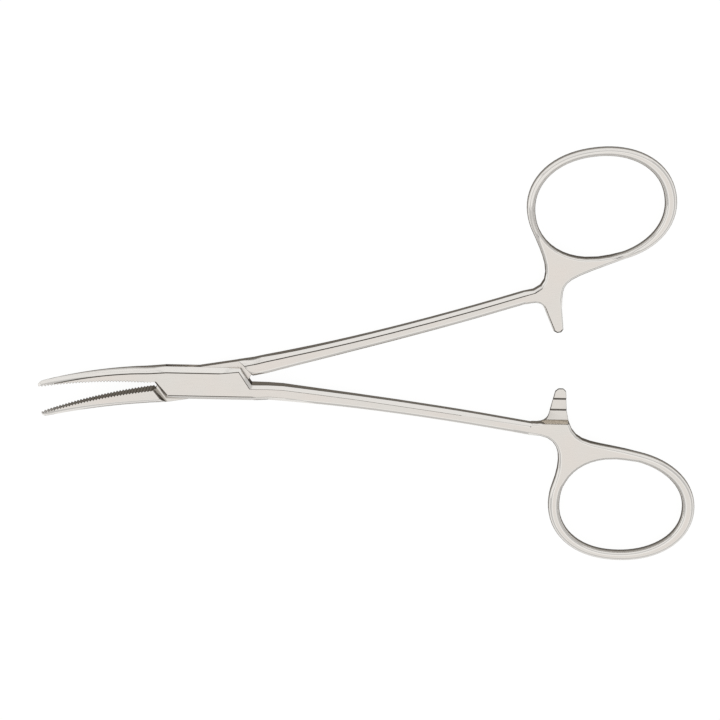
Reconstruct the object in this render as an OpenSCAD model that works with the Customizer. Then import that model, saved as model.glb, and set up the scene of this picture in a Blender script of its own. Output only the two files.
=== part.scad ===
// Curved mosquito hemostat with a box lock, shown part open and lying flat.
// X runs from the jaw tips to the finger rings, Z is up along the hinge pin, and the
// origin is on the pin's axis, in the plane of the underside of the box lock.
// Each half is drawn in its own closed frame: pin at the origin, jaw towards -X and
// below the closing line, shank and ring above it. The female half is its mirror image.

/* [Opening] */
// Angle between the halves as the part lies at rest, in degrees
rest_opening = 9.8; // [0.1:0.1:40]

/* [Jaws] */
// Length from the pin to the jaw tip
jaw_reach = 31.4; // [28:0.1:36]
// Distance from the pin at which the jaws start to bend
bend_start = 10.2; // [9.6:0.1:14]
// Radius of the sideways bend of the closed jaws
bend_radius = 110; // [80:1:300]
// Angle between the closing line at the lock and the shanks' own middle line
jaw_set = 1.15; // [0:0.05:2]
// Width of one jaw in plan where the bend starts
jaw_root_w = 2.68; // [2.3:0.01:3]
// Width of one jaw in plan just behind the rounded tip
jaw_tip_w = 0.85; // [0.7:0.01:1.2]
// Length of the rounding at the jaw tip
tip_round = 0.9; // [0.5:0.05:1.5]
// Thickness of the jaw at the tip
jaw_tip_t = 1.7; // [1.4:0.05:2.2]
// Width in plan of the rounded back of the jaw
jaw_back_w = 0.95; // [0.6:0.05:1]
// Pitch of the cross serrations
tooth_pitch = 0.6; // [0.5:0.05:0.9]
// Depth of the cross serrations
tooth_depth = 0.28; // [0.15:0.01:0.32]

/* [Box lock] */
// Width of the box lock in plan
box_w = 6.4; // [6:0.1:7.4]
// Thickness of the box lock
box_t = 4.4; // [4:0.1:5]
// Distance from the pin to the closing line's end of the cheek on the jaw side
cheek_jaw_far = 8.8; // [8.6:0.1:9.2]
// Distance from the pin to the outer corner of the cheek on the jaw side
cheek_jaw_near = 6.5; // [6:0.1:6.8]
// Distance from the pin to the outer corner of the cheek on the shank side
cheek_shank_near = 7.8; // [7.4:0.1:8]
// Distance from the pin to the closing line's end of the cheek on the shank side
cheek_shank_far = 9.98; // [9.8:0.01:10.4]
// How much slimmer the male half's back is than the cheeks on the lock's jaw side
male_back_inset = 0.4; // [0:0.05:0.6]
// Thickness of the male half's tongue inside the lock
tongue_t = 1.6; // [1.4:0.1:2]
// Width in plan of the long bevels of the lock
box_bevel_w = 0.9; // [0.5:0.05:1.1]
// Depth of the long bevels of the lock
box_bevel_d = 1.34; // [0.6:0.02:1.5]
// Width in plan of the bevels on the slanted cheek ends
cheek_bevel_w = 0.55; // [0.3:0.05:0.8]
// Length over which the male half's slanted shoulders slope down to the tongue
shoulder_slope = 0.6; // [0.1:0.05:0.9]
// Diameter of the hinge pin
pin_d = 2; // [1.6:0.1:2.4]
// Diameter of the pin's closed-over ends at the faces of the cheeks
pin_head_d = 2.6; // [2.4:0.1:3]

/* [Shanks] */
// Distance from the pin to where the shank leaves the lock at full width
shank_start = 11; // [10.6:0.1:13]
// Distance from the pin to where the shank runs into the web of the ring
shank_end = 64.3; // [60:0.1:66]
// Height of the male shank's middle line over the closing line at its start
male_shank_rise = 1.59; // [1.2:0.01:1.8]
// Slope of the male shank's middle line at its start, in degrees
male_shank_slope = 3.72; // [3:0.02:5]
// Height of the female shank's middle line over the closing line at its start
female_shank_rise = 1.25; // [1.2:0.01:1.8]
// Slope of the female shank's middle line at its start, in degrees
female_shank_slope = 4.78; // [3:0.02:5]
// Radius of the shank's gentle outward curve
shank_curve = 627; // [500:1:900]
// Width of the slender part of the shank
shank_w = 2.4; // [2:0.05:3]
// How much wider the shank is at its start
shank_swell = 1; // [0.4:0.05:1.2]
// Thickness of the slender part of the shank
shank_t = 2.65; // [2.3:0.05:3.2]
// Width in plan of the shank's bevels
shank_bevel_w = 0.72; // [0.3:0.02:0.9]
// Depth of the shank's bevels
shank_bevel_d = 0.62; // [0.3:0.02:0.9]

/* [Finger rings] */
// The two rings are finished by hand and differ a little in place, size and set.
// Distance from the pin to the middle of the male half's ring, along the closing line
male_ring_x = 81.1; // [80:0.05:84]
// Height of the middle of the male half's ring over the closing line
male_ring_y = 22.85; // [22:0.05:24]
// Half the length of the male half's finger hole
male_hole_a = 12.4; // [11:0.05:13]
// Half the height of the male half's finger hole
male_hole_b = 9.8; // [9:0.05:10.5]
// Set of the male half's finger hole to the closing line, in degrees
male_ring_set = 1; // [0:0.05:6]
// Mean width of the bar of the male half's ring
male_bar_w = 1.67; // [1.6:0.01:2.4]
// Distance from the pin to the middle of the female half's ring, along the closing line
female_ring_x = 82.5; // [80:0.05:84]
// Height of the middle of the female half's ring over the closing line
female_ring_y = 23.25; // [22:0.05:24]
// Half the length of the female half's finger hole
female_hole_a = 12.05; // [11:0.05:13]
// Half the height of the female half's finger hole
female_hole_b = 9.35; // [9:0.05:10.5]
// Set of the female half's finger hole to the closing line, in degrees
female_ring_set = 4.75; // [0:0.05:6]
// Mean width of the bar of the female half's ring
female_bar_w = 2.1; // [1.6:0.05:2.4]

/* [Ratchet] */
// Height of the male ratchet arm's tip past the closing line
male_arm_past = 0.4; // [0.2:0.05:1]
// Height of the female ratchet arm's tip past the closing line, less than none as it lies
female_arm_past = -0.1; // [-0.3:0.05:1]
// Width of the ratchet arm at its tip
arm_tip_w = 1.9; // [1.8:0.05:2.4]
// Height of the first ratchet crest over the closing line
first_crest = 1.85; // [1.5:0.05:2.1]
// Pitch of the ratchet teeth
ratchet_pitch = 2.2; // [1.8:0.1:2.4]
// Height of a ratchet tooth
ratchet_depth = 0.62; // [0.3:0.02:0.7]
// How far the steep side of a ratchet tooth leans back from its crest
ratchet_lean = 0.42; // [0:0.02:0.5]

/* [Fits] */
// Gap between the meshed serrations of the fully closed jaws
mesh_gap = 0.05; // [0.03:0.01:0.1]
// Play in thickness on each side of the tongue
tongue_play = 0.05; // [0.03:0.01:0.1]
// Gap between the tongue's slanted edges and the end walls of the slot
slot_gap = 0.12; // [0.1:0.01:0.2]
// Gap between the male half's shoulders and the slanted cheek ends, fully closed
shoulder_gap = 0.2; // [0.15:0.01:0.3]
// Gap of each half's shank to the closing line, fully closed
shank_gap = 0.06; // [0.04:0.01:0.2]
// Radial clearance of the pin in the tongue
pin_play = 0.04; // [0.02:0.01:0.08]
// Gap of each half's ratchet crests to the middle plane, so that they pass
crest_gap = 0.06; // [0.04:0.01:0.15]

/* [Hidden] */

steel = "#dcdad6";
steel_dark = "#c9c7c3";
// Side of the closing line on which a half's jaw bends: with its own jaw or against it
male = 1;
female = -1;
half_box_w = box_w / 2;
half_box_t = box_t / 2;
half_shank_t = shank_t / 2;
// Shares that give the taper and the roundings of the jaw and the lock their form
jaw_taper_share = 1.25;
tip_round_share = 0.8;
tip_thin_share = 0.3;
back_w_share = 0.86;
back_d_share = 0.8;
back_round_share = 0.35;
bevel_d_share = 0.6;
jaw_step_share = 1.35;
shank_step_share = 1.2;
// Extra stock on the mating face, all of it taken off by the serrations
mating_stock = 0.12;
blank_rise = tooth_depth / 2 + mating_stock;
// How far every cutter runs past the faces that it cuts
overrun = 1;
// Small break of an edge that is otherwise sharp
edge_break = 0.06;
// Angle at which the lock's bore and pin are divided for display
$fn = 48;

// Steps along the stretches of the outline
jaw_steps = 18;
lock_steps = 4;
shank_steps = 14;
arm_steps = 4;
web_steps = 8;
ring_steps = 56;
// Rows of points from the flat face to the side wall
bevel_steps = 3;
rows = 2 * (bevel_steps + 1);

// Closing line of the fully closed jaws, as a height over the shanks' middle line
function closing_line(x) =
    let (past = max(0, -bend_start - x))
    -x * tan(jaw_set) - bend_radius + sqrt(pow(bend_radius, 2) - pow(past, 2));

// Plan width of the jaw, narrowing a little faster towards its rounded tip
function jaw_w(x) =
    let (along = max(0, -bend_start - x) / (jaw_reach - bend_start),
         into_round = max(0, tip_round - (jaw_reach + x)) / tip_round)
    (jaw_root_w - (jaw_root_w - jaw_tip_w) * pow(along, jaw_taper_share))
        * sqrt(max(0, 1 - tip_round_share * pow(into_round, 2)));

// Half the thickness, full at the lock, thinning along the jaw and along the shank
function half_t(x) =
    x < -cheek_jaw_near
    ? let (along = (-cheek_jaw_near - x) / (jaw_reach - cheek_jaw_near),
           into_round = max(0, tip_round - (jaw_reach + x)) / tip_round)
      (jaw_tip_t + (box_t - jaw_tip_t) * pow(1 - along, jaw_taper_share)) / 2
          * (1 - tip_thin_share * pow(into_round, 2))
    : x < cheek_shank_near
    ? half_box_t
    : half_shank_t + (half_box_t - half_shank_t)
          * exp(-(x - cheek_shank_near) / shank_start);

// Middle line and width of the shank
function shank_mid(x, side) =
    let (along = x - shank_start,
         rise = side == male ? male_shank_rise : female_shank_rise,
         slope = side == male ? male_shank_slope : female_shank_slope)
    rise + along * tan(slope) + pow(along, 2) / (2 * shank_curve);
function shank_width(x) = shank_w + shank_swell * exp(-(x - shank_start) / shank_start);

// Distance from the closing line to the back of a half inside the lock
function lock_back(x, side) =
    side == female
    ? half_box_w
    : half_box_w - male_back_inset
          * min(1, max(0, (cheek_shank_near - x) / (cheek_shank_near + cheek_jaw_near / 2)));

// Lower edge of the arm: back of the jaw, lock, slanted cheek end, inside of the shank
function low_edge(x, side) =
    x <= -bend_start ? side * closing_line(x) - jaw_w(x)
    : x <= -cheek_jaw_near ? let (share = (x + bend_start) / (bend_start - cheek_jaw_near),
                                  start = side * closing_line(-bend_start) - jaw_root_w)
                             start + share * (-lock_back(-cheek_jaw_near, side) - start)
    : x <= cheek_shank_near ? -lock_back(x, side)
    : x <= cheek_shank_far ? let (share = (x - cheek_shank_near)
                                          / (cheek_shank_far - cheek_shank_near))
                             -half_box_w + share * (half_box_w + shank_gap)
    : max(shank_gap, shank_mid(x, side) - shank_width(x) / 2);

// Upper edge of the arm: mating face, slanted cheek end, lock, outside of the shank
cheek_run = (cheek_jaw_far - cheek_jaw_near) / half_box_w;
function mating_blank(x, side) = side * closing_line(x) + blank_rise;
function high_corner(side) =
    -cheek_jaw_far + mating_blank(-cheek_jaw_far, side) * cheek_run;
function high_edge(x, side) =
    x <= high_corner(side) ? mating_blank(x, side)
    : x <= -cheek_jaw_near ? (x + cheek_jaw_far) / cheek_run
    : x <= shank_start ? half_box_w
    : shank_mid(x, side) + shank_width(x) / 2;

// Stations along the arm, shared by both of its edges
function jaw_stations(side) = [
    for (i = [0:jaw_steps])
        let (share = pow(i / jaw_steps, jaw_step_share))
        -jaw_reach + share * (jaw_reach + high_corner(side))
];
lock_stations = [
    for (i = [0:lock_steps])
        -cheek_jaw_near + i / lock_steps * (cheek_jaw_near + cheek_shank_near)
];
shank_stations = [
    for (i = [0:shank_steps])
        let (share = pow(i / shank_steps, shank_step_share))
        shank_start + share * (shank_end - shank_start)
];
function arm_stations(side) =
    concat(jaw_stations(side), lock_stations, [cheek_shank_far], shank_stations);

// An outline point is [x, y, bevel width, bevel depth, half thickness, roundness].
// The lower edge is rounded on the jaw's back and bevelled on the lock and the shank.
function low_point(x, side) =
    let (h = half_t(x),
         jaw_share = min(1, max(0, (-x - cheek_jaw_near) / (bend_start - cheek_jaw_near))),
         shank_share = min(1, max(0, (x - cheek_shank_near)
                                     / (shank_start - cheek_shank_near))),
         width = min(box_bevel_w + (jaw_back_w - box_bevel_w) * jaw_share,
                     back_w_share * jaw_w(min(x, -bend_start))),
         depth = min(box_bevel_d, back_d_share * h))
    x <= cheek_shank_near
    ? [x, low_edge(x, side), width, depth, h, back_round_share * jaw_share]
    : [x, low_edge(x, side),
       cheek_bevel_w + (shank_bevel_w - cheek_bevel_w) * shank_share,
       min(bevel_d_share * h, shank_bevel_d), h, 0];

// The upper edge is sharp on the mating face and bevelled from the cheek end on.
function high_point(x, side) =
    let (h = half_t(x),
         share = min(1, max(0, (x - cheek_shank_near) / shank_start)))
    x < high_corner(side) - edge_break
    ? [x, high_edge(x, side), edge_break, edge_break, h, 0]
    : x < -cheek_jaw_near - edge_break
    ? [x, high_edge(x, side), cheek_bevel_w, bevel_d_share * half_box_t, h, 0]
    : [x, high_edge(x, side),
       box_bevel_w + (shank_bevel_w - box_bevel_w) * share,
       box_bevel_d + (shank_bevel_d - box_bevel_d) * share, h, 0];

// Point on a smooth curve with two end points and two guide points
function curve_point(a, b, c, d, t) =
    a * pow(1 - t, 3) + b * 3 * t * pow(1 - t, 2) + c * 3 * t * t * (1 - t) + d * pow(t, 3);

// Values of each half's ring
function ring_middle(side) =
    side == male ? [male_ring_x, male_ring_y] : [female_ring_x, female_ring_y];
function hole_half(side) =
    side == male ? [male_hole_a, male_hole_b] : [female_hole_a, female_hole_b];
function ring_set(side) = side == male ? male_ring_set : female_ring_set;

// Finger hole: a blunt oval, a little higher towards the web
hole_blunt = 2.13;
male_egg_share = 0.033;
female_egg_share = 0.068;
function turned(v, angle) =
    [v[0] * cos(angle) - v[1] * sin(angle), v[0] * sin(angle) + v[1] * cos(angle)];
function oval(side, phi) =
    let (size = pow(pow(abs(cos(phi)), hole_blunt) + pow(abs(sin(phi)), hole_blunt),
                    -1 / hole_blunt),
         egg = side == male ? male_egg_share : female_egg_share,
         half = hole_half(side))
    [half[0] * cos(phi) * size, half[1] * sin(phi) * size * (1 - egg * cos(phi))];
heading_step = 1;
function oval_heading(side, phi) =
    let (v = oval(side, phi + heading_step) - oval(side, phi - heading_step))
    turned(v / norm(v), ring_set(side));
function hole_at(side, phi) = ring_middle(side) + turned(oval(side, phi), ring_set(side));

// Outside of the ring: its bar swells towards one side of the far end and is slimmer
// above and below than at both ends of the oval.
male_swell_share = 0.28;
male_swell_at = 31;
male_slim_share = 0.16;
male_slim_at = -15;
female_swell_share = 0.05;
female_swell_at = 5;
female_slim_share = 0.09;
female_slim_at = 3;
function bar_w(side, phi) =
    side == male
    ? male_bar_w * (1 + male_swell_share * cos(phi - male_swell_at)
                      + male_slim_share * cos(2 * (phi - male_slim_at)))
    : female_bar_w * (1 + female_swell_share * cos(phi - female_swell_at)
                        + female_slim_share * cos(2 * (phi - female_slim_at)));
function ring_at(side, phi) =
    let (v = oval_heading(side, phi))
    hole_at(side, phi) + bar_w(side, phi) * [v[1], -v[0]];

// The ring's bar leaves the web at these angles, and the web spans the hole between
// the two angles below.
function ring_from(side) = side == male ? -76 : -79;
ring_to = 194;
web_from = -110;
web_to = 215;

// Ratchet arm, between the web and its rounded tip
arm_x = 70;
arm_root = 4.3;
arm_root_w = 2.95;
arm_corner = 0.5;
arm_flare = 0.06;
function arm_past(side) = side == male ? male_arm_past : female_arm_past;
function arm_left(y) = arm_x - arm_tip_w / 2 - (arm_root_w - arm_tip_w) * y / arm_root;
function arm_right(y) = arm_x + arm_tip_w / 2 + arm_flare * y;
function arm_heights(side) =
    let (run = arm_root + arm_past(side) - arm_corner)
    [for (i = [0:arm_steps]) arm_root - run * i / arm_steps];

// Corners of the web: guide points reach along the edges that each curve joins
inner_reach = 4.1;
inner_lead = 1;
inner_start = shank_end - inner_lead;
arm_lean = 0.25;
inner_rise = 1.5;
right_lean = 1.05;
male_right_rise = 5.6;
female_right_rise = 7.5;
male_right_reach = 13.5;
female_right_reach = 10.5;
male_left_reach = 4.2;
female_left_reach = 5.4;
male_left_run = 7.2;
female_left_run = 6.3;
male_left_drop = 0.6;
female_left_drop = 0.35;
function right_rise(side) = side == male ? male_right_rise : female_right_rise;
function right_reach(side) = side == male ? male_right_reach : female_right_reach;
function left_reach(side) = side == male ? male_left_reach : female_left_reach;
function left_run(side) = side == male ? male_left_run : female_left_run;
function left_drop(side) = side == male ? male_left_drop : female_left_drop;
function inner_web(side) = [
    [inner_start, low_edge(inner_start, side)],
    [inner_start + inner_reach, low_edge(inner_start + inner_reach, side)],
    [arm_left(arm_root) - arm_lean, arm_root + inner_rise],
    [arm_left(arm_root), arm_root]
];
function right_web(side) = [
    [arm_right(arm_root), arm_root],
    [arm_right(arm_root) + right_lean, arm_root + right_rise(side)],
    ring_at(side, ring_from(side)) - right_reach(side) * oval_heading(side, ring_from(side)),
    ring_at(side, ring_from(side))
];
function left_web(side) = [
    ring_at(side, ring_to),
    ring_at(side, ring_to) + left_reach(side) * oval_heading(side, ring_to),
    [shank_end + left_run(side), high_edge(shank_end, side) - left_drop(side)],
    [shank_end, high_edge(shank_end, side)]
];
function along_curve(guide, t) = curve_point(guide[0], guide[1], guide[2], guide[3], t);

// Finishes of the web, the ring's bar and the ratchet arm, as the tail of a point
web_bevel_w = 0.5;
web_bevel_d = 0.45;
web_round_share = 0.4;
ring_bevel_w = 0.8;
ring_bevel_d = 1.02;
ring_round_share = 0.75;
arm_bevel_w = 0.3;
arm_bevel_d = 0.35;
web_finish = [web_bevel_w, web_bevel_d, half_shank_t, web_round_share];
ring_finish = [ring_bevel_w, ring_bevel_d, half_shank_t, ring_round_share];
arm_finish = [arm_bevel_w, arm_bevel_d, half_shank_t, 0];
function with_finish(p, finish) = [p[0], p[1], finish[0], finish[1], finish[2], finish[3]];
function blend(a, b, share) = a + (b - a) * share;

// The whole outline of one half, anticlockwise from the jaw tip
function outline(side) =
    let (stations = arm_stations(side), last = len(stations) - 1,
         heights = arm_heights(side), tip = -arm_past(side))
    concat(
        [for (x = stations) low_point(x, side)],
        [for (i = [1:web_steps])
            let (t = i / (web_steps + 1))
            with_finish(along_curve(inner_web(side), t), blend(web_finish, arm_finish, t))],
        [for (y = heights) with_finish([arm_left(y), y], arm_finish)],
        [with_finish([arm_left(tip) + arm_corner, tip], arm_finish)],
        [with_finish([arm_right(tip) - arm_corner, tip], arm_finish)],
        [for (i = [arm_steps:-1:0])
            with_finish([arm_right(heights[i]), heights[i]], arm_finish)],
        [for (i = [1:web_steps])
            let (t = i / (web_steps + 1))
            with_finish(along_curve(right_web(side), t), blend(web_finish, ring_finish, pow(t, 2)))],
        [for (i = [0:ring_steps])
            with_finish(ring_at(side, blend(ring_from(side), ring_to, i / ring_steps)), ring_finish)],
        [for (i = [1:web_steps])
            let (t = i / (web_steps + 1))
            with_finish(along_curve(left_web(side), t), blend(ring_finish, web_finish, t))],
        [for (i = [last:-1:0]) high_point(stations[i], side)]
    );

// Places of the stretches in that list
arm_count = jaw_steps + lock_steps + shank_steps + 4;
inner_at = arm_count;
ratchet_at = inner_at + web_steps;
ratchet_back = ratchet_at + 2 * (arm_steps + 2) - 1;
right_at = ratchet_back + 1;
ring_start = right_at + web_steps;
left_at = ring_start + ring_steps + 1;
high_at = left_at + web_steps;
outline_count = high_at + arm_count;
// The strip between the ring's outside and the hole starts and ends half way into
// the web's curves
strip_steps = 2;
strip_from = ring_start - strip_steps - 1;
strip_to = left_at + strip_steps;
strip_count = strip_to - strip_from + 1;
web_hole_steps = 5;
hole_count = strip_count + web_hole_steps - 1;

// Angles of the hole's points: opposite each outline point, then across the web
function hole_angles(side) = concat(
    [for (i = [strip_from:strip_to])
        i < ring_start
        ? blend(web_from, ring_from(side), (i - strip_from) / (ring_start - strip_from))
        : i < left_at ? blend(ring_from(side), ring_to, (i - ring_start) / ring_steps)
        : blend(ring_to, web_to, (i - left_at + 1) / (strip_to - left_at + 1))],
    [for (i = [1:web_hole_steps - 1]) blend(web_to, web_from + 360, i / web_hole_steps)]
);
hole_blend_share = 0.35;
function hole_points(side) = [
    for (phi = hole_angles(side))
        let (in_web = phi > ring_to || phi < ring_from(side))
        with_finish(hole_at(side, phi),
                    in_web ? blend(web_finish, ring_finish, hole_blend_share) : ring_finish)
];

// Mitred normal at a point of a closed loop, towards its left. A mitre at a sharp corner
// is cut short at this share.
mitre_share = 0.6;
function left_normal(a, b) = let (v = b - a) [-v[1], v[0]] / norm(v);
function flat_xy(p) = [p[0], p[1]];
function corner_normal(loop, i) =
    let (n = len(loop),
         before = left_normal(flat_xy(loop[(i + n - 1) % n]), flat_xy(loop[i])),
         after = left_normal(flat_xy(loop[i]), flat_xy(loop[(i + 1) % n])),
         middle = (before + after) / norm(before + after))
    middle / max(mitre_share, middle * before);

// Column of points at one outline point, from the top face to the bottom face.
// inward is 1 where the material is on the left of the loop and -1 where on the right.
function column(loop, i, inward) =
    let (p = loop[i],
         n = corner_normal(loop, i) * inward,
         upper = [
             for (k = [0:bevel_steps])
                 let (share = k / bevel_steps,
                      inset = p[2] * blend(1 - share, 1 - sin(90 * share), p[5]),
                      drop = p[3] * blend(share, 1 - cos(90 * share), p[5]))
                 [p[0] + n[0] * inset, p[1] + n[1] * inset, p[4] - drop]
         ])
    concat(upper, [for (k = [bevel_steps:-1:0]) [upper[k][0], upper[k][1], -upper[k][2]]]);

// Side walls around a loop; turn is true for the outside and false for the hole
function walls(first, count, turn) = [
    for (i = [0:count - 1], j = [0:rows - 2])
        let (a = first + i * rows + j,
             b = first + ((i + 1) % count) * rows + j)
        each turn ? [[a, b, b + 1], [a, b + 1, a + 1]] : [[a, b + 1, b], [a, a + 1, b + 1]]
];
// A face of the top and the same face of the bottom, from point numbers
function both_faces(a, b, c) = [
    [a * rows, b * rows, c * rows],
    [c * rows + rows - 1, b * rows + rows - 1, a * rows + rows - 1]
];
function both_quads(a, b, c, d) = concat(both_faces(a, b, c), both_faces(a, c, d));

// Points around the middle of the web, anticlockwise
web_loop = concat(
    [for (i = [arm_count - 1:ratchet_at]) i],
    [for (i = [ratchet_back:strip_from]) i],
    [outline_count],
    [for (i = [hole_count - 1:-1:strip_count - 1]) outline_count + i],
    [for (i = [strip_to:high_at]) i]
);
web_rise = 4.1;
web_middle = [arm_x, arm_root + web_rise];

// One half in its own closed frame, before its lock, serrations and ratchet are cut
module half_blank(side) {
    loop = outline(side);
    hole = hole_points(side);
    points = concat(
        [for (i = [0:outline_count - 1]) each column(loop, i, 1)],
        [for (i = [0:hole_count - 1]) each column(hole, i, -1)],
        [[web_middle[0], web_middle[1], half_shank_t]],
        [[web_middle[0], web_middle[1], -half_shank_t]]
    );
    top_middle = (outline_count + hole_count) * rows;
    faces = concat(
        walls(0, outline_count, true),
        walls(outline_count * rows, hole_count, false),
        [for (j = [0:arm_count - 2])
            each both_quads(outline_count - 1 - j, outline_count - 2 - j, j + 1, j)],
        [for (j = [0:arm_steps])
            each both_quads(ratchet_at + j, ratchet_back - j, ratchet_back - j - 1,
                            ratchet_at + j + 1)],
        [for (i = [0:strip_count - 2])
            each both_quads(outline_count + i, outline_count + i + 1,
                            strip_from + i + 1, strip_from + i)],
        [for (i = [0:len(web_loop) - 1])
            let (a = web_loop[i], b = web_loop[(i + 1) % len(web_loop)])
            each [[top_middle, b * rows, a * rows],
                  [top_middle + 1, a * rows + rows - 1, b * rows + rows - 1]]]
    );
    polyhedron(points = points, faces = faces, convexity = 10);
}

// Serrations: everything above a zigzag along the closing line. The two halves' teeth
// are half a pitch apart, and they grow shallower towards the lock.
teeth_margin = 0.4;
teeth_from = cheek_jaw_far + teeth_margin;
teeth_count = floor((jaw_reach - teeth_from) / tooth_pitch);
first_tooth_share = 0.5;
teeth_fade = 5 * tooth_pitch;
function tooth_share(x) =
    min(1, first_tooth_share + (1 - first_tooth_share) * (-x - teeth_from) / teeth_fade);
module serrations(side) {
    zigzag = [
        for (i = [0:2 * teeth_count + 3])
            let (x = -teeth_from - i * tooth_pitch / 2,
                 up = i % 2 == (side == male ? 0 : 1) ? 1 : -1)
            [x, side * closing_line(x) - mesh_gap / 2 + up * tooth_share(x) * tooth_depth / 2]
    ];
    last = zigzag[len(zigzag) - 1];
    near = high_corner(side);
    relief = side * closing_line(near) - mesh_gap / 2;
    translate([0, 0, -half_box_t - overrun])
        linear_extrude(box_t + 2 * overrun)
            polygon(concat(
                [[near, relief]],
                zigzag,
                [[last[0], half_box_w], [near, half_box_w]]
            ));
}

// Plan of the lock between the slanted shoulders, wider by a gap than the cheeks, and by
// a gap of its own where the jaws meet
shank_run = (cheek_shank_far - cheek_shank_near) / (half_box_w + shank_gap);
function lock_plan(gap, jaw_gap) =
    let (past = half_box_w + overrun)
    [
        [-cheek_jaw_far - jaw_gap, 0],
        [-cheek_jaw_far - jaw_gap, past],
        [cheek_shank_near + gap - overrun * shank_run, past],
        [cheek_shank_far + gap, shank_gap],
        [cheek_shank_far + gap, -past],
        [-cheek_jaw_near - gap + overrun * cheek_run, -past]
    ];
// The male half's tongue is left between two slabs with slanted, sloping shoulders. The
// jaw's shoulder stays steep where the jaws meet.
module tongue_slab() {
    hull() {
        translate([0, 0, tongue_t / 2])
            linear_extrude(edge_break) polygon(lock_plan(shoulder_gap, shoulder_gap));
        translate([0, 0, half_box_t + edge_break])
            linear_extrude(edge_break)
                polygon(lock_plan(shoulder_gap + shoulder_slope, shoulder_gap + edge_break));
    }
}
module tongue_slot() {
    height = tongue_t + 2 * tongue_play;
    translate([0, 0, -height / 2]) linear_extrude(height) polygon(lock_plan(slot_gap, slot_gap));
}

// Ratchet: everything above a saw line whose steep sides look away from the arm's tip
crests = [for (i = [0:2]) first_crest + i * ratchet_pitch];
ratchet_end = 0.55;
module ratchet_cut() {
    saw = [
        for (y = crests)
            each [[y, -crest_gap], [y + ratchet_lean, -crest_gap - ratchet_depth]]
    ];
    start = -male_arm_past - overrun;
    top = half_shank_t + overrun;
    end = crests[2] + ratchet_end;
    lead_in = [start, -crest_gap - ratchet_depth];
    translate([arm_x - arm_root_w - overrun, 0, 0])
        rotate([90, 0, 90])
            linear_extrude(arm_root_w + 3 * overrun)
                polygon(concat([lead_in], saw, [[end, top], [start, top]]));
}

// Pin with closed-over ends; its seat in the cheeks is the same form, run past the faces
head_depth = (pin_head_d - pin_d) / 2;
module pin_form(past) {
    rotate_extrude()
        polygon([
            [0, -half_box_t - past],
            [pin_head_d / 2 + past, -half_box_t - past],
            [pin_d / 2, -half_box_t + head_depth],
            [pin_d / 2, half_box_t - head_depth],
            [pin_head_d / 2 + past, half_box_t + past],
            [0, half_box_t + past]
        ]);
}

module female_half() {
    color(steel)
        translate([0, 0, half_box_t])
            rotate([0, 0, -rest_opening / 2])
                mirror([0, 1, 0])
                    difference() {
                        half_blank(female);
                        serrations(female);
                        tongue_slot();
                        ratchet_cut();
                        pin_form(overrun);
                    }
}

module male_half() {
    color(steel)
        translate([0, 0, half_box_t])
            rotate([0, 0, rest_opening / 2])
                difference() {
                    half_blank(male);
                    serrations(male);
                    tongue_slab();
                    mirror([0, 0, 1]) tongue_slab();
                    mirror([0, 0, 1]) ratchet_cut();
                    cylinder(h = box_t, r = pin_d / 2 + pin_play, center = true);
                }
}

module lock_pin() {
    color(steel_dark) translate([0, 0, half_box_t]) pin_form(0);
}

female_half();
male_half();
lock_pin();
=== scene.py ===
import bpy
import math
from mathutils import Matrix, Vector


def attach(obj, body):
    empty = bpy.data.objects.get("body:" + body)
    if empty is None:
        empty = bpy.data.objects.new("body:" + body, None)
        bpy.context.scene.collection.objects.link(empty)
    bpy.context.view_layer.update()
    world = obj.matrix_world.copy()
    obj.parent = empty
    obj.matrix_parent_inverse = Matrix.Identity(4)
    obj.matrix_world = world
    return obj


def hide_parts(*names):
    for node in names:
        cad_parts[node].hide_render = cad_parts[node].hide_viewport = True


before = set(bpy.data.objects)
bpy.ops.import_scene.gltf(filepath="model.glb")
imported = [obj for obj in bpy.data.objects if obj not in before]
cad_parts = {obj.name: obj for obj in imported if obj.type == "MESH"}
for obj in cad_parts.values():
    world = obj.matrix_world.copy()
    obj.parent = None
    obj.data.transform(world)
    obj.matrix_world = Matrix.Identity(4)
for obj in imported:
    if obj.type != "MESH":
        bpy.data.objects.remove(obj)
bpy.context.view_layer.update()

mm = 0.001


# camera: a long lens a little over the upper side of the part, as in the photograph
camera = {
    "tilt": 15.0,          # degrees from straight down, leaning towards the male half's ring
    "turn": 3.7,           # the part's X axis stands this far anticlockwise in the picture
    "target": (31.19, 2.37, 2.2),   # mm, the point in the middle of the picture
    "distance": 600.0,     # mm
    "spanMm": 139.2,       # width of what the picture shows at that distance
    "sensor": 36.0,
}


def addCamera():
    spec = camera
    bpy.ops.object.select_all(action="DESELECT")
    bpy.ops.object.camera_add()
    cam = bpy.context.object
    cam.name = "photoCamera"
    cam.rotation_euler = (math.radians(-spec["tilt"]), 0, math.radians(-spec["turn"]))
    back = cam.rotation_euler.to_matrix() @ Vector((0, 0, 1))
    cam.location = (Vector(spec["target"]) + back * spec["distance"]) * mm
    cam.data.sensor_width = spec["sensor"]
    cam.data.lens = spec["sensor"] * spec["distance"] / spec["spanMm"]
    cam.data.clip_start = 0.01
    cam.data.clip_end = 10
    bpy.context.scene.camera = cam
    print("camera placed")


def linear(hexColour):
    out = []
    for i in (1, 3, 5):
        c = int(hexColour[i:i + 2], 16) / 255
        out.append(c / 12.92 if c <= 0.04045 else ((c + 0.055) / 1.055) ** 2.4)
    return (out[0], out[1], out[2], 1.0)


def addNode(tree, kind, settings=None, links=None):
    node = tree.nodes.new(kind)
    for name, value in (settings or {}).items():
        if isinstance(name, str) and hasattr(node, name):
            setattr(node, name, value)
        else:
            node.inputs[name].default_value = value
    for name, source in (links or {}).items():
        tree.links.new(source, node.inputs[name])
    return node


def newMaterial(name):
    mat = bpy.data.materials.new(name)
    mat.use_nodes = True
    mat.node_tree.nodes.clear()
    return mat, mat.node_tree


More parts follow.
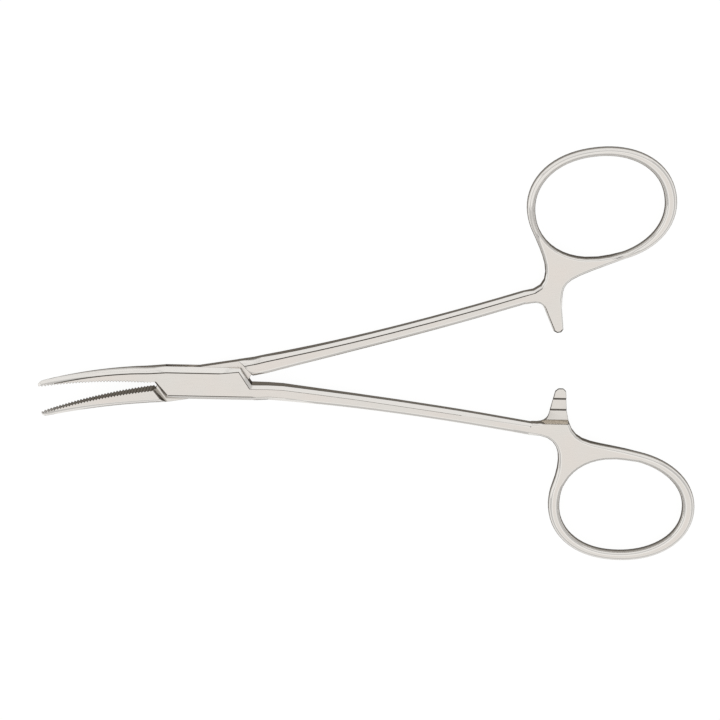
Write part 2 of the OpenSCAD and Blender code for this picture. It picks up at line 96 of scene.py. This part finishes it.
def finishMaterial(tree, shader):
    addNode(tree, "ShaderNodeOutputMaterial", links={"Surface": shader})


# noise measured in millimetres along and across the grain; turn follows the half's shank
def grain(tree, alongMm, acrossMm, turn=0.0, detail=3.0):
    place = addNode(tree, "ShaderNodeTexCoord")
    turned = addNode(tree, "ShaderNodeMapping", {"Rotation": (0, 0, math.radians(-turn))},
                     {"Vector": place.outputs["Object"]})
    scaled = addNode(tree, "ShaderNodeVectorMath", {"operation": "MULTIPLY",
                     1: (1 / (alongMm * mm), 1 / (acrossMm * mm), 1 / (acrossMm * mm))},
                     {0: turned.outputs["Vector"]})
    return addNode(tree, "ShaderNodeTexNoise", {"Scale": 1.0, "Detail": detail},
                   {"Vector": scaled.outputs["Vector"]}).outputs["Fac"]


def spread(tree, source, low, high):
    return addNode(tree, "ShaderNodeMapRange", {1: 0.3, 2: 0.7, 3: low, 4: high},
                   {0: source}).outputs[0]


def steel(name, spec, turn):
    mat, tree = newMaterial(name)
    fine = grain(tree, spec["grainMm"][0], spec["grainMm"][1], turn)
    broad = grain(tree, spec["waveMm"], spec["waveMm"], turn, 1.0)
    tint = addNode(tree, "ShaderNodeMix", {"data_type": "RGBA", 6: linear(spec["colours"][0]),
                   7: linear(spec["colours"][1])}, {0: spread(tree, broad, 0.0, 1.0)})
    shade = addNode(tree, "ShaderNodeMix", {"data_type": "RGBA", "blend_type": "MULTIPLY",
                    0: 1.0}, {6: tint.outputs[2],
                              7: spread(tree, fine, spec["dimmest"], 1.0)})
    wave = addNode(tree, "ShaderNodeBump", {"Strength": 1.0, "Distance": spec["waveDeep"] * mm},
                   {"Height": broad})
    scratch = addNode(tree, "ShaderNodeBump",
                      {"Strength": 1.0, "Distance": spec["grainDeep"] * mm},
                      {"Height": fine, "Normal": wave.outputs["Normal"]})
    shader = addNode(tree, "ShaderNodeBsdfPrincipled", {"Metallic": 1.0},
                     {"Base Color": shade.outputs[2],
                      "Roughness": spread(tree, fine, *spec["roughness"]),
                      "Normal": scratch.outputs["Normal"]})
    finishMaterial(tree, shader.outputs["BSDF"])
    return mat


addCamera()

# finishes of the forgings and the painted shade: sizes in mm, along and across the grain
finishesAndShades = {
    # belt-ground flats: a soft, slightly warm grey that spreads the light evenly
    "satinFlat": {"colours": ("#E4E0DA", "#E6DFD8"), "grainMm": (2.6, 0.16), "waveMm": 7.0,
                  "dimmest": 0.94, "waveDeep": 0.010, "grainDeep": 0.0006,
                  "roughness": (0.24, 0.32)},
    # hand-polished bevels, walls and rings: crisp light and dark
    "polished": {"colours": ("#EDEAE5", "#EFEBE6"), "grainMm": (4.0, 0.3), "waveMm": 5.0,
                 "dimmest": 0.97, "waveDeep": 0.012, "grainDeep": 0.0003,
                 "roughness": (0.12, 0.17)},
    # milled teeth, ratchet risers and the inside of the lock: duller, and darker as painted
    # shade: the serration flanks turned towards the tip, the lock's slot and the tongue in the
    # lock's corner get it
    "milled": {"colours": ("#CBC4BA", "#C0B8AE"), "grainMm": (0.5, 0.1), "waveMm": 2.0,
               "dimmest": 0.8, "waveDeep": 0.004, "grainDeep": 0.001,
               "roughness": (0.34, 0.46)},
    # painted shade: a dark colour on the broken edges, the lower ratchet risers and the end
    # walls in the lock, standing in for the dark reflections and shadow there; they read as
    # thin dark lines and bands
    "burnished": {"colours": ("#625D56", "#5B554F"), "grainMm": (3.0, 0.2), "waveMm": 3.0,
                  "dimmest": 0.85, "waveDeep": 0.004, "grainDeep": 0.0003,
                  "roughness": (0.2, 0.3)},
    # painted shade: the upright sides of the finger rings get a dimmer, a little duller colour,
    # standing in for the dim floor they reflect, so they read as a dim line
    "ringSide": {"colours": ("#B3AEA6", "#ABA59D"), "grainMm": (3.0, 0.3), "waveMm": 4.0,
                 "dimmest": 0.9, "waveDeep": 0.01, "grainDeep": 0.0003,
                 "roughness": (0.14, 0.2)},
}

# each half is forged in one piece, so its visual piece is one mesh: the CAD half with its
# edges broken, and its faces sorted by finish and by painted shade
halfSpec = {
    "opening": 9.8,         # degrees between the halves at rest
    "weld": 0.001,          # mm, the CAD mesh is loose triangles
    "flatAngle": 0.4,       # degrees, faces this close to one plane are joined
    "smoothTo": 28.0,       # degrees
    "ringSmoothTo": 62.0,   # degrees
    "middle": 2.2,          # mm, height of the middle plane
    "pinClear": 1.6,        # mm, the peened pin is ground flush, so its rim stays unbroken
    "jawEnd": -8.7,         # mm along the half, serrations end before it
    "shank": (10.2, 62.0),  # mm along the half, from and to
    "creaseTo": (60.0, 69.0),   # mm along the female and the male half
    "crispLow": (-24.2, 16.2),  # mm along the female half, all creases stay crisp here
    "ringFrom": 66.0,       # mm along the half, the rings are rounded by hand from here
    "ringLow": 9.0,         # mm from the closing line, the ratchet arm ends below it
    "ratchet": (66.0, 73.0, 7.4),   # mm along the half from and to, and from the closing line
    "stepHigh": 2.1,        # mm from the middle plane, the steps end below it
    "lastRiser": 5.4,       # mm from the closing line
    "shoulderAcross": (0.84, 0.55, 0.0),
    "shoulderAt": (-7.76, -1.44, 0.0),      # mm, as it lies at rest
    "shoulderFrom": -6.5,   # mm along the male half, towards the jaw
    "tongueHalf": (0.6, 0.9, 1.0),  # mm from the middle plane: over, at and under its faces
    "lockReach": 10.2,      # mm from the pin to the far ends of the slot
    "cheekJaw": (-5.0, -6.0),       # mm along, edges stay sharp and walls are bright past it
    "cheekShank": 5.0,      # mm along, the cheeks' other end walls lie past it
    "webEnd": (69.03, 14.35),   # mm, where the web between shank and ring ends, at rest
    "webReach": 6.0,        # mm
    "inLine": 140.0,        # degrees, chosen edges this straight share their room
    "roomShare": 0.42,      # of the free length beside an edge, that its break may take
    "least": 0.012,         # mm, a narrower break is left out
}

# which way a face looks, as parts of its unit normal
facings = {
    "flat": 0.985,          # upwards, from here it is a flat
    "stepTop": 0.9,         # upwards, from here it is the top of a ratchet step
    "bevelled": 0.3,        # upwards, from here it is more than a wall
    "steep": 0.5,           # upwards, to here it is steep
    "ringSide": 0.52,       # upwards, to here it is the side of a ring
    "upright": 0.2,         # upwards, to here it is upright
    "riser": (0.5, 0.8),    # along the arm from here, upwards to here
    "mating": 0.15,         # towards the other jaw, from here
    "lit": 0.2,             # a tooth's flank towards the rings, from here
    "low": -0.3,            # away from the light, from here down
    "endWall": (-0.4, 0.5),     # along the half: towards the jaw, towards the rings
    "shoulder": 0.3,        # towards the other half, from here
    "across": 0.8,          # an edge's part along the picture, to here it runs across
    "folded": -0.999,       # two faces this far turned lie on each other
}

# edges are broken in two passes; widths in mm are from the edge to each side of the break. The
# breaks get the painted shade colour, so they read as dark lines
passes = {
    # the line between a flat and its bevel
    "crease": {"width": 0.12, "from": 20.0, "segments": 2},
    # stone-polished outer edges
    "edge": {"width": 0.055, "from": 40.0, "segments": 2},
}
weakCrease = 0.3            # share of the width on the female half's shank
toothShare = 0.3            # share of the width on the serrations' upright edges
lowShare = 0.3              # share of the width on the female half's outer side


def edgeNormals(obj):
    mesh = obj.data
    faceNormals = [p.normal.copy() for p in mesh.polygons]
    touching = {}
    for poly in mesh.polygons:
        for key in poly.edge_keys:
            touching.setdefault(key, []).append(poly.index)
    pairs = []
    for edge in mesh.edges:
        near = touching.get(edge.key, [])
        pairs.append([faceNormals[i] for i in near] if len(near) == 2 else None)
    return pairs


# place and direction in a half's own frame: jaw towards -X, mating side towards +Y
def ownFrame(v, side):
    a = math.radians(halfSpec["opening"] / 2)
    return Vector((v.x * math.cos(a) + side * v.y * math.sin(a),
                   -v.x * math.sin(a) + side * v.y * math.cos(a), v.z))


def isCrease(pair):
    upright = sorted(abs(n.z) for n in pair)
    return upright[1] > facings["flat"] and upright[0] > facings["bevelled"]


def runsAcross(pair):
    along = pair[0].cross(pair[1]).normalized()
    return abs(along.x) < facings["across"]


def onLowSide(pair):
    return min(n.y for n in pair) < facings["low"]


# creases on the side away from the light are polished over, but not on the lock's cheeks
def softCrease(pair, own, side):
    crispFrom, crispTo = halfSpec["crispLow"]
    if side < 0 and crispFrom < own.x < crispTo:
        return False
    return isCrease(pair) and onLowSide(pair)


# the rings' bars are already rounded
def inRing(own):
    return own.x > halfSpec["ringFrom"] and own.y > halfSpec["ringLow"]


# share of its pass's full width that an edge is broken by, 0 for an edge of another pass
def breakShare(kind, own, pair, side):
    spec = halfSpec
    onShank = spec["shank"][0] < own.x < spec["shank"][1]
    if inRing(own):
        return 0.0
    if side < 0 and -spec["lockReach"] < own.x < spec["cheekJaw"][0] and runsAcross(pair):
        return 0.0
    if kind == "crease":
        if softCrease(pair, own, side) or not isCrease(pair):
            return 0.0
        if own.x > spec["creaseTo"][side > 0]:
            return 0.0
        return weakCrease if side < 0 and onShank else 1.0
    if isCrease(pair):
        return 0.0
    if side < 0 and onShank and onLowSide(pair):
        return lowShare
    if own.x < spec["jawEnd"] and max(abs(n.z) for n in pair) < facings["upright"]:
        return toothShare
    if side < 0 and abs(own.x) < spec["lockReach"] and runsAcross(pair):
        return 0.0
    return 1.0


def breakEdges(obj, side, kind):
    spec = halfSpec
    mesh = obj.data
    chosen = {}
    for edge, pair in zip(mesh.edges, edgeNormals(obj)):
        if pair is None:
            continue
        if math.degrees(pair[0].angle(pair[1], 0.0)) < passes[kind]["from"]:
            continue
        a, b = (mesh.vertices[i].co / mm for i in edge.vertices)
        if max(math.hypot(a.x, a.y), math.hypot(b.x, b.y)) < spec["pinClear"]:
            continue
        own = ownFrame((a + b) / 2, side)
        share = breakShare(kind, own, pair, side)
        if share > 0:
            chosen[edge.index] = share * passes[kind]["width"]
    # no break takes more room than the edges beside it leave
    beside = {}
    for edge in mesh.edges:
        for i in edge.vertices:
            beside.setdefault(i, []).append(edge.index)
    limited = 0
    weights = mesh.attributes.get("bevel_weight_edge")
    if weights is None:
        weights = mesh.attributes.new("bevel_weight_edge", "FLOAT", "EDGE")
    for value in weights.data:
        value.value = 0.0
    for index, size in chosen.items():
        edge = mesh.edges[index]
        room = size
        for i in edge.vertices:
            here = mesh.vertices[i].co
            other = mesh.vertices[edge.vertices[0] + edge.vertices[1] - i].co
            along = (other - here) / mm
            for j in beside[i]:
                if j == index:
                    continue
                ends = mesh.edges[j].vertices
                away = (mesh.vertices[ends[0] + ends[1] - i].co - here) / mm
                turn = along.angle(away, 0.0)
                if math.degrees(turn) > spec["inLine"] and j in chosen:
                    continue
                room = min(room, spec["roomShare"] * away.length * math.sin(turn))
        limited += room < size
        if room > spec["least"]:
            weights.data[index].value = room / passes[kind]["width"]
    bevel = obj.modifiers.new(kind + "Break", "BEVEL")
    bevel.limit_method = "WEIGHT"
    bevel.width = passes[kind]["width"] * mm
    bevel.segments = passes[kind]["segments"]
    bevel.use_clamp_overlap = False
    # painted shade: every break gets the dark colour
    bevel.material = list(finishesAndShades).index("burnished")
    bpy.ops.object.modifier_apply(modifier=bevel.name)
    print(obj.name, kind, "edges broken", len(chosen), "narrower", limited)


# the tongue's flat beside the male jaw is cut in two: painted shade on it in the lock's corner,
# its own bright finish further out
def shoulderCut():
    across = Vector(halfSpec["shoulderAcross"]).normalized()
    return across, across.dot(Vector(halfSpec["shoulderAt"])) * mm


def onTongue(poly):
    under, _, over = halfSpec["tongueHalf"]
    height = abs(poly.center.z / mm - halfSpec["middle"])
    return abs(poly.normal.z) > facings["flat"] and under < height < over


def splitShoulder(obj):
    for poly in obj.data.polygons:
        poly.select = onTongue(poly)
    across, edgeAt = shoulderCut()
    bpy.ops.object.mode_set(mode="EDIT")
    bpy.ops.mesh.bisect(plane_co=across * edgeAt, plane_no=across)
    bpy.ops.object.mode_set(mode="OBJECT")


# flaps without thickness over the bevel beside the web are taken back into the flat
def closeFolds(obj):
    folded = 0
    bpy.ops.mesh.select_mode(type="EDGE")
    bpy.ops.mesh.select_all(action="DESELECT")
    bpy.ops.object.mode_set(mode="OBJECT")
    for edge, pair in zip(obj.data.edges, edgeNormals(obj)):
        a, b = (obj.data.vertices[i].co / mm for i in edge.vertices)
        middle = (a + b) / 2
        near = math.hypot(middle.x - halfSpec["webEnd"][0],
                          abs(middle.y) - halfSpec["webEnd"][1]) < halfSpec["webReach"]
        edge.select = near and bool(pair) and pair[0].dot(pair[1]) < facings["folded"]
        folded += edge.select
    bpy.ops.object.mode_set(mode="EDIT")
    bpy.ops.mesh.dissolve_edges(use_verts=False, use_face_split=False)
    bpy.ops.mesh.select_mode(type="FACE")
    bpy.ops.object.mode_set(mode="OBJECT")
    print(obj.name, "folds closed", folded)


# the finish of a face that isn't a broken edge, or the painted shade it gets
def finishOrShadeOf(poly, side):
    spec = halfSpec
    place = ownFrame(poly.center / mm, side)
    facing = ownFrame(poly.normal, side)
    height = abs(place.z - spec["middle"])
    upwards = abs(facing.z)
    steep = upwards < facings["steep"]
    fromX, toX, top = spec["ratchet"]
    besideArm = fromX < place.x < toX
    if (place.x < spec["jawEnd"] and facing.y > facings["mating"]
            and upwards < facings["upright"]):
        # painted shade: flanks turned towards the tip get the darker milled colour, those
        # towards the rings the polished one
        return "polished" if poly.normal.x > facings["lit"] else "milled"
    if (besideArm and abs(place.y) < top and height < spec["stepHigh"]
            and abs(facing.y) > facings["riser"][0] and upwards < facings["riser"][1]):
        # painted shade: the lower ratchet risers are dark bands, the last one stays polished
        return "burnished" if place.y < spec["lastRiser"] else "polished"
    if side < 0 and steep:
        if (-spec["lockReach"] < place.x < spec["cheekJaw"][1]
                and facing.x < facings["endWall"][0]):
            return "satinFlat"
        # painted shade: the cheeks' end walls towards the rings are dark
        if (spec["cheekShank"] < place.x < spec["lockReach"]
                and facing.x > facings["endWall"][1]):
            return "burnished"
    if side > 0 and onTongue(poly) and abs(place.x) < spec["lockReach"] + 2:
        across, edgeAt = shoulderCut()
        if poly.center.dot(across) < edgeAt:
            # painted shade in the lock's corner
            return "milled"
    # painted shade: the upright sides of the rings are dimmer
    if inRing(place) and upwards < facings["ringSide"]:
        return "ringSide"
    # painted shade: the female half's faces near the middle plane inside the lock get the
    # darker milled colour
    if (side < 0 and abs(place.x) < spec["lockReach"]
            and height < spec["tongueHalf"][1] + 0.05 and facing.y > facings["low"]):
        return "milled"
    # painted shade: the male shoulder's walls towards the other half are a dark band
    if (side > 0 and steep and -spec["lockReach"] - 0.5 < place.x < spec["shoulderFrom"]
            and facing.x > facings["endWall"][1] and facing.y > facings["shoulder"]):
        return "burnished"
    if upwards > facings["flat"]:
        return "satinFlat"
    if besideArm and place.y < top and upwards > facings["stepTop"]:
        return "satinFlat"
    return "polished"


def sortFaces(obj, side):
    order = list(finishesAndShades)
    counts = dict.fromkeys(order, 0)
    for poly in obj.data.polygons:
        name = order[poly.material_index]
        # the faces of the breaks keep their painted shade
        if name != "burnished":
            name = finishOrShadeOf(poly, side)
        poly.material_index = order.index(name)
        counts[name] += 1
    return counts


def dressHalf(nodeName, body, name, side):
    spec = halfSpec
    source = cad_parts[nodeName]
    bpy.ops.object.select_all(action="DESELECT")
    source.select_set(True)
    bpy.context.view_layer.objects.active = source
    bpy.ops.object.duplicate(linked=False)
    obj = bpy.context.object
    obj.name = name
    obj.data.name = name
    for key in list(obj.keys()):
        del obj[key]
    obj.parent = None
    bpy.ops.object.mode_set(mode="EDIT")
    bpy.ops.mesh.select_all(action="SELECT")
    bpy.ops.mesh.remove_doubles(threshold=spec["weld"] * mm)
    bpy.ops.mesh.dissolve_limited(angle_limit=math.radians(spec["flatAngle"]))
    closeFolds(obj)
    obj.data.materials.clear()
    for kind, finish in finishesAndShades.items():
        obj.data.materials.append(steel(name + kind[0].upper() + kind[1:], finish,
                                        side * spec["opening"] / 2))
    for kind in passes:
        breakEdges(obj, side, kind)
    if side > 0:
        splitShoulder(obj)
    bpy.ops.object.shade_smooth_by_angle(angle=math.radians(spec["smoothTo"]))
    for edge, pair in zip(obj.data.edges, edgeNormals(obj)):
        place = ownFrame(obj.data.vertices[edge.vertices[0]].co / mm, side)
        if pair and inRing(place):
            turn = math.degrees(pair[0].angle(pair[1], 0.0))
            edge.use_edge_sharp = turn > spec["ringSmoothTo"]
        elif pair and softCrease(pair, place, side):
            edge.use_edge_sharp = False
    # the flats' own direction wins at their rims, so that they stay even
    for poly in obj.data.polygons:
        poly.select = abs(poly.normal.z) > facings["flat"]
    bpy.ops.object.mode_set(mode="EDIT")
    bpy.ops.mesh.mod_weighted_strength(set=True, face_strength="STRONG")
    bpy.ops.object.mode_set(mode="OBJECT")
    even = obj.modifiers.new("evenFlats", "WEIGHTED_NORMAL")
    even.keep_sharp = True
    even.use_face_influence = True
    even.weight = 100
    bpy.ops.object.modifier_apply(modifier=even.name)
    counts = sortFaces(obj, side)
    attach(obj, body)
    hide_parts(nodeName)
    print(name, "faces by finish", counts)


dressHalf("female_half", "female_body", "femaleHalf", -1)
dressHalf("male_half", "male_body", "maleHalf", 1)
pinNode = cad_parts["lock_pin"]
pinNode.data.materials.clear()
pinNode.data.materials.append(steel("pinFlat", finishesAndShades["satinFlat"], 0))


# white sweep: the camera sees it as plain white, and it keeps a soft shadow. The steel sees it
# plain white away from the part; near the part it is darkened as painted shade by an ambient
# occlusion mask, so steel beside the part reflects a dim floor at its own foot.
floor = {
    "size": 4.0,            # m
    "middle": (0.03, 0, 0),     # m, under the middle of the part
    "drop": 0.02,           # mm under the part, so that nothing lies exactly in its plane
    "colour": "#E8E8E6",
    "whiteShare": 0.85,     # of what the camera sees, the rest is the lit floor with its shadow
    "white": 1.1,
    # painted shade on the floor as the steel sees it: its reach, the occlusion range it spans,
    # its colour and the brightness in the steel
    "paintedFloorShadeReach": 12.0,       # mm
    "dimFrom": 0.7,         # how open the floor is where it is dimmest
    "dimTo": 0.995,         # and where it is plain white
    "paintedFloorShadeColour": "#706B64",
    "mirrored": 0.95,       # brightness in the steel
}


def addFloor():
    spec = floor
    bpy.ops.object.select_all(action="DESELECT")
    under = Vector(spec["middle"]) - Vector((0, 0, spec["drop"] * mm))
    bpy.ops.mesh.primitive_plane_add(size=spec["size"], location=under)
    plane = bpy.context.object
    plane.name = "floor"
    mat, tree = newMaterial("whiteSweep")
    diffuse = addNode(tree, "ShaderNodeBsdfDiffuse", {"Color": linear(spec["colour"])})
    glow = addNode(tree, "ShaderNodeEmission", {"Strength": spec["white"]})
    path = addNode(tree, "ShaderNodeLightPath")
    seen = addNode(tree, "ShaderNodeMath", {"operation": "MAXIMUM"},
                   {0: path.outputs["Is Camera Ray"], 1: path.outputs["Is Transmission Ray"]})
    share = addNode(tree, "ShaderNodeMath", {"operation": "MULTIPLY", 1: spec["whiteShare"]},
                    {0: seen.outputs[0]})
    lit = addNode(tree, "ShaderNodeMixShader",
                  links={0: share.outputs[0], 1: diffuse.outputs[0], 2: glow.outputs[0]})
    # painted shade: ambient occlusion darkens the floor near the part, only in the steel's
    # reflections
    near = addNode(tree, "ShaderNodeAmbientOcclusion", {"Distance": spec["paintedFloorShadeReach"] * mm})
    openShare = addNode(tree, "ShaderNodeMapRange",
                    {1: spec["dimFrom"], 2: spec["dimTo"], 3: 0.0, 4: 1.0},
                    {0: near.outputs["AO"]})
    tone = addNode(tree, "ShaderNodeMix", {"data_type": "RGBA", 6: linear(spec["paintedFloorShadeColour"]),
                   7: (1, 1, 1, 1)}, {0: openShare.outputs[0]})
    mirrored = addNode(tree, "ShaderNodeEmission", {"Strength": spec["mirrored"]},
                       {"Color": tone.outputs[2]})
    mix = addNode(tree, "ShaderNodeMixShader",
                  links={0: path.outputs["Is Glossy Ray"], 1: lit.outputs[0],
                         2: mirrored.outputs[0]})
    finishMaterial(tree, mix.outputs[0])
    plane.data.materials.append(mat)
    print("floor laid")


# soft boxes, each with the brightness it adds to the studio's in a mirror; places in m
lamps = [
    {"name": "overhead", "place": (0.03, -0.1, 0.92), "size": (1.2, 1.05), "bright": 0.37},
    {"name": "farSide", "place": (0.03, 0.95, 0.33), "size": (2.0, 0.62), "bright": 0.3},
    {"name": "leftSide", "place": (-1.0, 0.3, 0.28), "size": (0.9, 0.7), "bright": 0.4},
]
studioBright = 0.62


def addLamps():
    for spec in lamps:
        bpy.ops.object.select_all(action="DESELECT")
        bpy.ops.object.light_add(type="AREA", location=spec["place"])
        lamp = bpy.context.object
        lamp.name = spec["name"] + "Lamp"
        lamp.data.shape = "RECTANGLE"
        lamp.data.size, lamp.data.size_y = spec["size"]
        lamp.data.energy = spec["bright"] * math.pi * spec["size"][0] * spec["size"][1]
        away = Vector(spec["place"]) - Vector(floor["middle"])
        lamp.rotation_euler = away.to_track_quat("Z", "Y").to_euler()
    world = bpy.data.worlds.new("studio")
    world.use_nodes = True
    sky = world.node_tree.nodes["Background"]
    sky.inputs["Color"].default_value = (1, 1, 1, 1)
    sky.inputs["Strength"].default_value = studioBright
    bpy.context.scene.world = world
    print("lamps hung")


addFloor()
addLamps()
bpy.context.scene.view_settings.view_transform = "Standard"
